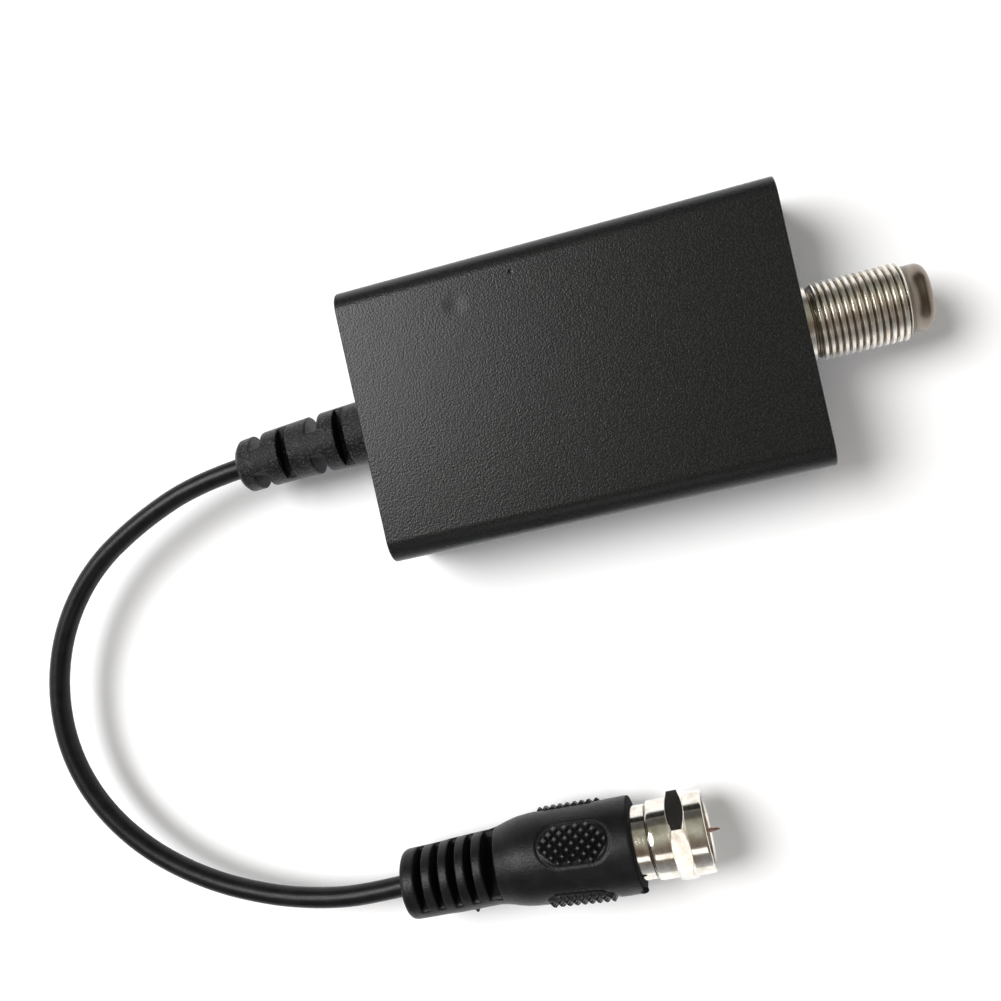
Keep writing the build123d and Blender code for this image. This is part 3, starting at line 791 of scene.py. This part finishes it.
def gripTree(inputs):
    t = ShapeWriter("gripPoints", inputs)
    get = t.get
    halfWidth = t.times(get["Pad Width"], 0.5)
    halfStraight = t.minus(t.times(get["Pad Length"], 0.5), halfWidth)

    def reachOf(along, across):
        # distance from the straight line in the pad's middle
        beyond = t.do("MAXIMUM", t.minus(t.do("ABSOLUTE", along), halfStraight), 0.0)
        return t.do("SQRT", t.plus(t.times(beyond, beyond), t.times(across, across)))

    # a field of rows, turned and trimmed to the pad's round-ended outline
    count = grip["rows"]
    span = t.times(get["Pitch"], float(count - 1))
    rows = t.node(
        "GeometryNodeMeshGrid", Size_X=span, Size_Y=span, Vertices_X=count, Vertices_Y=count)
    turn = t.node("ShaderNodeCombineXYZ", Z=get["Row Turn"])
    turned = t.node("GeometryNodeTransform", Geometry=rows, Rotation=turn)
    along, across, _ = t.position()
    edge = t.minus(halfWidth, t.times(get["Pitch"], grip["rimShare"]))
    outside = t.do("GREATER_THAN", reachOf(along, across), edge)
    field = t.node("GeometryNodeDeleteGeometry", Geometry=turned, Selection=outside)

    # one four-sided point, wide enough at the skin to meet its neighbours
    point = t.node(
        "GeometryNodeMeshCone", Vertices=4, Side_Segments=2,
        Radius_Bottom=t.times(get["Pitch"], grip["footShare"]),
        Radius_Top=t.times(get["Pitch"], grip["topShare"]),
        Depth=t.plus(get["Height"], get["Sunk"]),
    )
    turn = t.node("ShaderNodeCombineXYZ", Z=t.plus(get["Row Turn"], pi / 4))
    point = t.node("GeometryNodeTransform", Geometry=point, Rotation=turn)
    placed = t.node("GeometryNodeInstanceOnPoints", Points=field, Instance=point)
    realised = t.node("GeometryNodeRealizeInstances", Geometry=placed)

    # wrapped round the plug's axis; what stands past the outline drops under the skin
    along, across, up = t.position()
    past = t.minus(reachOf(along, across), halfWidth)
    past = t.fit(past, (-grip["dropOver"] * mm, grip["dropOver"] * mm))
    up = t.minus(up, t.times(past, t.times(get["Height"], grip["drop"])))
    skin = t.plus(get["Body Radius"], t.times(along, get["Body Slope"]))
    angle = t.plus(get["Pad Angle"], t.do("DIVIDE", across, get["Body Radius"]))
    z, y = t.around(t.minus(t.plus(skin, up), get["Sunk"]), angle)
    place = t.node("ShaderNodeCombineXYZ", X=t.plus(along, get["Pad Centre"]), Y=y, Z=z)
    return t.finish(t.node("GeometryNodeSetPosition", Geometry=realised, Position=place))


def makeGripPads():
    tree = gripTree(gripInputs(*grip["pads"][0]))
    pads = []
    for number, values in enumerate(grip["pads"]):
        pad = tree.run(f"gripPad{number + 1}", gripInputs(*values))
        work = bmesh.new()
        work.from_mesh(pad.data)
        bmesh.ops.recalc_face_normals(work, faces=work.faces)
        work.to_mesh(pad.data)
        work.free()
        pads.append(layOnPlug(pad, bowed=True))
    return pads


gripPads = makeGripPads()
print("grip points set", [len(pad.data.polygons) for pad in gripPads])


# Threaded socket

socket = {
    "axisZ": socketCentre[2],
    "wall": 27.8,
    "collarEnd": 28.85,
    "collarRadius": 4.6,
    "collarChamfer": 0.12,
    "threadStart": 29.15,
    "threadEnd": 40.1,
    "pitch": 0.79375,
    "crest": 4.7625,
    "root": 4.30,
    "core": 4.1,
    "endLimit": 4.3,
    # where a flank runs from root to crest, in half turns, as a straight line and as a soft one
    "flank": (0.13, 0.48),
    "softFlank": (0.05, 0.60),
    "rowsPerTurn": 24,
    # whole turns, and a hair, that keep a phase above nought; where the sheet's end rows lie
    "phaseShift": 2.0001,
    "endRows": 0.49999,
    "sides": 96,
    "sharpFrom": 48,
    "noseRound": 1.2,
    "noseSteps": 8,
    "tip": 42.9,
    "bore": 3.1,
    "lipBore": 2.6,
    "lip": 0.5,
    "lipRound": 0.08,
}


def threadTree(inputs):
    t = ShapeWriter("rolledThread", inputs)
    get = t.get

    # rows run along the helix; the first and the last stay on the core and close the ends
    oneRow = t.do("DIVIDE", 1.0, get["Rows Per Turn"])
    span = t.plus(t.plus(get["Turns"], 1.0), t.times(oneRow, 2.0))
    rows = t.plus(t.do("ROUND", t.times(span, get["Rows Per Turn"])), 1.0)
    columns = t.plus(get["Sides"], 1.0)
    sheet = t.node(
        "GeometryNodeMeshGrid", Size_X=1.0, Size_Y=1.0, Vertices_X=columns, Vertices_Y=rows)
    across, along, _ = t.position()
    around = t.plus(across, 0.5)
    row = t.minus(t.times(t.plus(along, 0.5), span), t.plus(oneRow, 1.0))
    forward = t.do("MAXIMUM", t.plus(row, around), 0.0)
    forward = t.do("MINIMUM", forward, get["Turns"])
    phase = t.do("FRACT", t.plus(t.minus(forward, around), socket["phaseShift"]))

    # flat crest and root with steep flanks between them, their corners softened
    flank = t.minus(1.0, t.do("ABSOLUTE", t.minus(t.times(phase, 2.0), 1.0)))
    straight = t.times(t.fit(flank, socket["flank"]), 0.5)
    soft = t.times(t.fit(flank, socket["softFlank"], curve="SMOOTHSTEP"), 0.5)
    radius = t.plus(get["Root Radius"], t.times(t.plus(straight, soft), get["Depth"]))

    # the thread runs out into the core at both ends
    toEnd = t.do("MINIMUM", forward, t.minus(get["Turns"], forward))
    limit = t.plus(get["End Limit"], t.times(toEnd, get["Pitch"]))
    radius = t.do("MINIMUM", radius, limit)
    ends = t.do("GREATER_THAN", t.do("ABSOLUTE", along), socket["endRows"])
    radius = t.plus(radius, t.times(ends, t.minus(get["Core Radius"], radius)))
    y, z = t.around(radius, t.times(around, 2 * pi))
    station = t.plus(get["Start"], t.times(forward, get["Pitch"]))
    place = t.node("ShaderNodeCombineXYZ", X=station, Y=y, Z=t.plus(get["Axis Z"], z))
    wrapped = t.node("GeometryNodeSetPosition", Geometry=sheet, Position=place)
    return t.finish(t.node("GeometryNodeRealizeInstances", Geometry=wrapped))


def socketEnds(threadEnd):
    # the plain stretches in front of and behind the thread, and the bore
    s = socket
    outline = [(threadEnd, s["core"])]
    for step in range(s["noseSteps"] + 1):
        angle = pi / 2 * step / s["noseSteps"]
        station = s["tip"] - s["noseRound"] * (1 - sin(angle))
        outline.append((station, s["core"] - s["noseRound"] * (1 - cos(angle))))
    outline += [
        (s["tip"], s["lipBore"] + s["lipRound"]),
        (s["tip"] - s["lipRound"], s["lipBore"]),
        (s["tip"] - s["lip"], s["lipBore"]),
        (s["tip"] - s["lip"], s["bore"]),
        (s["wall"], s["bore"]),
        (s["wall"], s["collarRadius"]),
        (s["collarEnd"] - s["collarChamfer"], s["collarRadius"]),
        (s["collarEnd"], s["collarRadius"] - s["collarChamfer"]),
        (s["collarEnd"], s["core"]),
        (s["threadStart"], s["core"]),
    ]
    return turnedMesh("socketEnds", outline, s["axisZ"], s["sides"], closed=False)


def socketInner():
    # the flange, block and legs inside the box, cut from the node at the wall
    inner = mergedCopy("socket_body", "socketInner")
    work = bmesh.new()
    work.from_mesh(inner)
    cut = bmesh.ops.bisect_plane(
        work, geom=work.verts[:] + work.edges[:] + work.faces[:], dist=planeReach,
        plane_co=(socket["wall"] * mm, 0, 0), plane_no=(1, 0, 0), clear_outer=True,
    )
    rim = [item for item in cut["geom_cut"] if isinstance(item, bmesh.types.BMEdge)]
    bmesh.ops.triangle_fill(work, use_beauty=True, edges=rim)
    bmesh.ops.recalc_face_normals(work, faces=work.faces)
    bmesh.ops.triangulate(work, faces=work.faces)
    work.to_mesh(inner)
    work.free()
    return inner


def makeSocket():
    s = socket
    rows = int((s["threadEnd"] - s["threadStart"]) / s["pitch"] * s["rowsPerTurn"])
    turns = rows / s["rowsPerTurn"]
    inputs = {
        "Start": s["threadStart"] * mm,
        "Turns": turns,
        "Rows Per Turn": s["rowsPerTurn"],
        "Sides": s["sides"],
        "Pitch": s["pitch"] * mm,
        "Root Radius": s["root"] * mm,
        "Depth": (s["crest"] - s["root"]) * mm,
        "Core Radius": s["core"] * mm,
        "End Limit": s["endLimit"] * mm,
        "Axis Z": s["axisZ"] * mm,
        "Finish": threadNickel,
    }
    piece = threadTree(inputs).run("threadedSocket", inputs)
    work = bmesh.new()
    work.from_mesh(piece.data)
    threaded = len(work.faces)
    work.from_mesh(socketEnds(s["threadStart"] + turns * s["pitch"]))
    for number, face in enumerate(work.faces):
        face.material_index = 0 if number < threaded else 1
    bmesh.ops.remove_doubles(work, verts=work.verts, dist=mergeReach)
    flat = [face for face in work.faces if face.calc_area() < sliverArea]
    bmesh.ops.delete(work, geom=flat, context="FACES")
    bmesh.ops.recalc_face_normals(work, faces=work.faces)
    outside = len(work.faces)
    work.from_mesh(socketInner())
    work.faces.ensure_lookup_table()
    for face in work.faces[outside:]:
        face.material_index = 1
    work.to_mesh(piece.data)
    work.free()
    paint(piece.data, threadNickel, socketNickel)
    softenShading(piece.data, s["sharpFrom"])
    return piece


threadedSocket = makeSocket()
print("socket thread cut", len(threadedSocket.data.polygons), "faces")


# Coupling nut and the sleeve behind it

nut = {
    "rear": -4.2,
    "front": 3.15,
    "lip": 1.2,
    "rearRadius": 5.0,
    "frontRadius": 5.15,
    "flats": 10.5,
    "hexStart": -1.5,
    "hexEnd": 0.85,
    "hexChamfer": 0.5,
    "hexSteps": 14,
    "hexGap": 0.02,
    # rounded ends: station from the end face and radius less the collar's
    "rearEdge": [(0, -0.3), (0.22, -0.04), (0.34, 0), (0.75, 0)],
    "frontEdge": [(-0.4, 0), (-0.25, 0), (-0.07, -0.07), (0, -0.25)],
    "cornerAngle": 25,
    "postHole": 3.5,
    "bore": 4.45,
    "threadRoot": 4.75,
    "threadFrom": 0.25,
    # a turn of the inside thread: how far back and at which radius
    "turn": [(0, "bore"), (0.1, "bore"), (0.4, "threadRoot"), (0.5, "threadRoot")],
    "sides": 144,
    "sharpFrom": 24,
}


def nutOutline():
    # stations along the nut; a radius of None is the hexagon's own
    n = nut
    rear, front, steps = n["rear"], n["front"], n["hexSteps"]
    outline = [(rear, n["postHole"])]
    outline += [(rear + along, n["rearRadius"] + less) for along, less in n["rearEdge"]]
    outline.append((n["hexStart"] - n["hexGap"], n["rearRadius"]))
    outline += [(n["hexStart"] + n["hexChamfer"] * i / steps, None) for i in range(steps + 1)]
    outline += [(n["hexEnd"] - n["hexChamfer"] * i / steps, None) for i in range(steps, -1, -1)]
    outline.append((n["hexEnd"] + n["hexGap"], n["frontRadius"]))
    outline += [(front + along, n["frontRadius"] + less) for along, less in n["frontEdge"]]
    outline.append((front, n["threadRoot"]))
    # internal thread as fine rings, then the shoulder behind it
    place = front - n["threadFrom"]
    while place > rear + n["lip"] + socket["pitch"]:
        outline += [(place - back, n[radius]) for back, radius in n["turn"]]
        place -= socket["pitch"]
    return outline + [(rear + n["lip"], n["bore"]), (rear + n["lip"], n["postHole"])]


def hexRadius(angle, station):
    # the hexagon's flats, clipped by a cone at each end and never inside the round collars
    n = nut
    corner = n["flats"] / 2 / cos(radians(30))
    turn = (angle - radians(n["cornerAngle"])) % radians(60) - radians(30)
    flat = n["flats"] / 2 / cos(turn)
    fromRear, fromFront = station - n["hexStart"], n["hexEnd"] - station
    collar = n["rearRadius"] if fromRear < fromFront else n["frontRadius"]
    cone = corner - max(n["hexChamfer"] - min(fromRear, fromFront), 0) / tan(radians(30))
    return max(min(flat, cone), collar)


def makeNut():
    points = []
    outline = nutOutline()
    for step in range(nut["sides"]):
        angle = 2 * pi * step / nut["sides"]
        for station, radius in outline:
            reach = hexRadius(angle, station) if radius is None else radius
            points.append((station, reach * sin(angle), reach * cos(angle)))
    mesh = meshFrom("couplingNut", points, turnedFaces(len(outline), nut["sides"]))
    paint(mesh, nutNickel)
    softenShading(mesh, nut["sharpFrom"])
    return layOnPlug(newObject("couplingNut", mesh))


couplingNut = makeNut()
sleeve = {
    "outline": [
        (-10.2, 3.4), (-10.2, 4.7), (-4.7, 4.7), (-4.48, 4.7), (-4.34, 4.66), (-4.3, 4.55),
        (-4.3, 3.4),
    ],
    "sharpFrom": 35,
}
plugSleeve = newObject("plugSleeve", turnedMesh("plugSleeve", sleeve["outline"]))
paint(plugSleeve.data, nutNickel)
softenShading(plugSleeve.data, sleeve["sharpFrom"])
layOnPlug(plugSleeve)


centreWire = {"taperFrom": 2.6, "taperTo": 4.3, "tipShare": 0.5, "sharpFrom": 40}


def makeWire():
    # the node's own pin, nipped to a thinner tip
    w = centreWire
    mesh = mergedCopy("plug_pin", "centreWire")
    mesh.transform(plugPlace.inverted())
    work = bmesh.new()
    work.from_mesh(mesh)
    for station in (w["taperFrom"], w["taperTo"]):
        everything = work.verts[:] + work.edges[:] + work.faces[:]
        place = (station * mm, 0, 0)
        bmesh.ops.bisect_plane(
            work, geom=everything, dist=planeReach, plane_co=place, plane_no=(1, 0, 0))
    for vertex in work.verts:
        share = (vertex.co.x / mm - w["taperFrom"]) / (w["taperTo"] - w["taperFrom"])
        thinner = 1 - (1 - w["tipShare"]) * min(max(share, 0), 1)
        vertex.co.y *= thinner
        vertex.co.z *= thinner
    work.to_mesh(mesh)
    work.free()
    paint(mesh, plain["tarnishedPinCopper"])
    softenShading(mesh, w["sharpFrom"])
    return layOnPlug(newObject("plugWire", mesh))


plugWire = makeWire()
print("nut, sleeve and wire turned")


# Strain relief and box halves, from the nodes' own shapes

relief = {
    "wall": -27.8,
    "length": 19.2,
    "axisZ": socketCentre[2],
    "cutterReach": 6,
    "softening": 0.12,
    "passes": 2,
    "web": 1.5,
    "sideNotches": [(-44.7, -43.1), (-36.5, -34.9)],
    "topNotches": [(-40.75, -39.4), (-32.6, -31.25)],
    "bend": 0.75,
    "swell": 0.07,
    "stretch": 0.25,
}


def makeRelief():
    # notches opened down to the web, a softened skin, and a tip that the cord pulls aside
    r = relief
    piece = newObject("boxRelief", mergedCopy("strain_relief", "boxRelief"))
    far, web, z = r["cutterReach"], r["web"], r["axisZ"]
    boxes = []
    for start, end in r["sideNotches"]:
        boxes.append(((start, web, z - far), (end, far, z + far)))
        boxes.append(((start, -far, z - far), (end, -web, z + far)))
    for start, end in r["topNotches"]:
        boxes.append(((start, -far, z + web), (end, far, z + far)))
        boxes.append(((start, -far, z - far), (end, far, z - web)))
    cutAway(piece, newObject("notchCutters", boxesMesh("notchCutters", boxes)))
    softenEdges(piece, r["softening"], r["passes"])
    for vertex in piece.data.vertices:
        share = max((r["wall"] * mm - vertex.co.x) / (r["length"] * mm), 0)
        swell = 1 + r["swell"] * share ** 2
        vertex.co.x -= r["stretch"] * share * mm
        vertex.co.y = vertex.co.y * swell - r["bend"] * share ** 2 * mm
        vertex.co.z = z * mm + (vertex.co.z - z * mm) * swell
    piece.data.update()
    paint(piece.data, reliefVinyl)
    return piece


shell = {"sharpFrom": 25}


def makeShell(node, name):
    mesh = mergedCopy(node, name)
    softenShading(mesh, shell["sharpFrom"])
    piece = newObject(name, mesh)
    weigh = piece.modifiers.new("weigh", "WEIGHTED_NORMAL")
    weigh.keep_sharp = True
    weigh.weight = 100
    plainMesh(piece)
    paint(piece.data, casePlastic)
    return piece


boxRelief = makeRelief()
print("relief moulded", len(boxRelief.data.polygons), "faces")
caseTop = makeShell("top_shell", "caseTop")
caseBottom = makeShell("bottom_shell", "caseBottom")
print("case halves made")

# Which piece stands for what
for piece, node, body, slotName in [
    (coaxLead, "cord", "root", "cable_jacket"),
    (plugBoot, "plug_boot", "root", "boot_pvc"),
    (threadedSocket, "socket_body", "root", "nickel_plate"),
    (couplingNut, "coupling_nut", "coupling_nut", "nickel_plate"),
    (plugSleeve, "plug_collar", "root", "nickel_plate"),
    (plugWire, "plug_pin", "root", "copper_wire"),
    (boxRelief, "strain_relief", "root", "boot_pvc"),
    (caseTop, "top_shell", "root", "case_plastic"),
    (caseBottom, "bottom_shell", "root", "case_plastic"),
]:
    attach(piece, body)
    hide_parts(node)
for pad in gripPads:
    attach(pad, "root")


# Floor and lights

studio = {
    "floorColour": (0.95, 0.95, 0.955),
    "floorGlow": 0.09,
    "floorGlowInMetal": 0.30,
    "floorGlowColour": (0.86, 0.92, 1.05),
    "floorSize": 4000,
    # how far from the middle the lamp's falloff is made up for the camera, and by how much
    "falloff": (300, 1300),
    "falloffGlow": 0.75,
    "aim": (-20, -30, 0),
    "keyFrom": (-0.58, 0.36, 1.0),
    "keyDistance": 900,
    "keySize": (520, 520),
    "keyPower": 8.7,
    "stripPlace": (-24.0, -214.4, 240.0),
    "stripSize": (130.0, 74.0),
    "stripPower": 0.048,
    "roomStrength": 0.92,
    # degrees from straight up, positive towards +Y, and the room's colour there
    "room": [
        (-180, (0.80, 0.80, 0.80)),
        (-88, (0.60, 0.60, 0.62)),
        (-70, (0.32, 0.32, 0.33)),
        (-48, (0.22, 0.205, 0.19)),
        (-28, (0.17, 0.135, 0.11)),
        (-8, (0.21, 0.175, 0.14)),
        (12, (0.35, 0.34, 0.275)),
        (34, (0.37, 0.375, 0.305)),
        (54, (0.34, 0.345, 0.29)),
        (60, (0.12, 0.12, 0.115)),
        (80, (0.12, 0.12, 0.115)),
        (88, (0.85, 0.85, 0.85)),
        (180, (0.80, 0.80, 0.80)),
    ],
    # how far towards either end of the room, the colour there and how much of it
    "ends": [
        (0.40, (0.12, 0.09, 0.07), 0.0),
        (0.55, (0.12, 0.09, 0.07), 0.7),
        (0.72, (0.12, 0.09, 0.07), 0.7),
        (0.85, (1.0, 1.0, 0.99), 1.0),
    ],
}


def makeFloor():
    half = studio["floorSize"] / 2
    points = [(-half, -half, 0), (half, -half, 0), (half, half, 0), (-half, half, 0)]
    mesh = meshFrom("paleFloor", points, [(0, 1, 2, 3)], recalculate=False)
    m = MaterialWriter("palePaper", studio["floorColour"], roughness=0.9, specular=0.2)
    # the glow that the camera sees, and the one that the metal shows
    away = m.reach("LENGTH", m.add("ShaderNodeTexCoord").outputs["Object"])
    glow = studio["floorGlow"]
    falloff = [distance * mm for distance in studio["falloff"]]
    seen = m.fit(away, falloff, (glow, glow + studio["falloffGlow"]))
    path = m.add("ShaderNodeLightPath").outputs
    mirrored = m.plus(path["Is Glossy Ray"], path["Is Transmission Ray"])
    mirrored.node.use_clamp = True
    inMetal = m.times(mirrored, studio["floorGlowInMetal"])
    total = m.do("MULTIPLY_ADD", path["Is Camera Ray"], seen, inMetal)
    m.put(m.shader, "Emission Color", (*studio["floorGlowColour"], 1))
    m.put(m.shader, "Emission Strength", total)
    paint(mesh, m.material)
    floor = newObject("paleFloor", mesh)


def addLamp(name, shape, place, size, power, target):
    data = bpy.data.lights.new(name, "AREA")
    data.shape = shape
    data.size, data.size_y = (side * mm for side in size)
    data.energy = power
    lamp = bpy.data.objects.new(name, data)
    place, target = Vector(place) * mm, Vector(target) * mm
    turn = (place - target).to_track_quat("Z", "Y")
    lamp.matrix_world = Matrix.Translation(place) @ turn.to_matrix().to_4x4()
    scene.collection.objects.link(lamp)


def makeWorld():
    world = bpy.data.worlds.new("softRoom")
    scene.world = world
    world.use_nodes = True
    t = TreeWriter(world.node_tree)
    room = t.tree.nodes["Background"]
    t.put(room, "Strength", studio["roomStrength"])
    parts = t.parts(t.add("ShaderNodeTexCoord").outputs["Generated"])
    share = t.fit(t.do("ARCTAN2", parts["Y"], parts["Z"]), (-pi, pi))
    stops = [((angle + 180) / 360, colour) for angle, colour in studio["room"]]
    ends = t.ramp(t.do("ABSOLUTE", parts["X"]), studio["ends"])
    t.put(room, "Color", t.mix(ends["Alpha"], t.ramp(share, stops)["Color"], ends["Color"]))
    # the camera sees plain white behind the floor instead of the room
    chosen = t.add("ShaderNodeMixShader")
    path = t.add("ShaderNodeLightPath").outputs
    backdrop = t.node("ShaderNodeBackground", Color=(1, 1, 1, 1))
    for slot, value in enumerate((path["Is Camera Ray"], room.outputs[0], backdrop)):
        t.put(chosen, slot, value)
    t.put(t.tree.nodes["World Output"], "Surface", chosen.outputs[0])


makeFloor()
keyAway = Vector(studio["keyFrom"]).normalized() * studio["keyDistance"]
keyPlace = Vector(studio["aim"]) + keyAway
addLamp("keyLamp", "DISK", keyPlace, studio["keySize"], studio["keyPower"], studio["aim"])
strip = studio["stripPlace"], studio["stripSize"], studio["stripPower"]
addLamp("stripLamp", "RECTANGLE", *strip, plugCentre)
makeWorld()
print("floor and lights set")
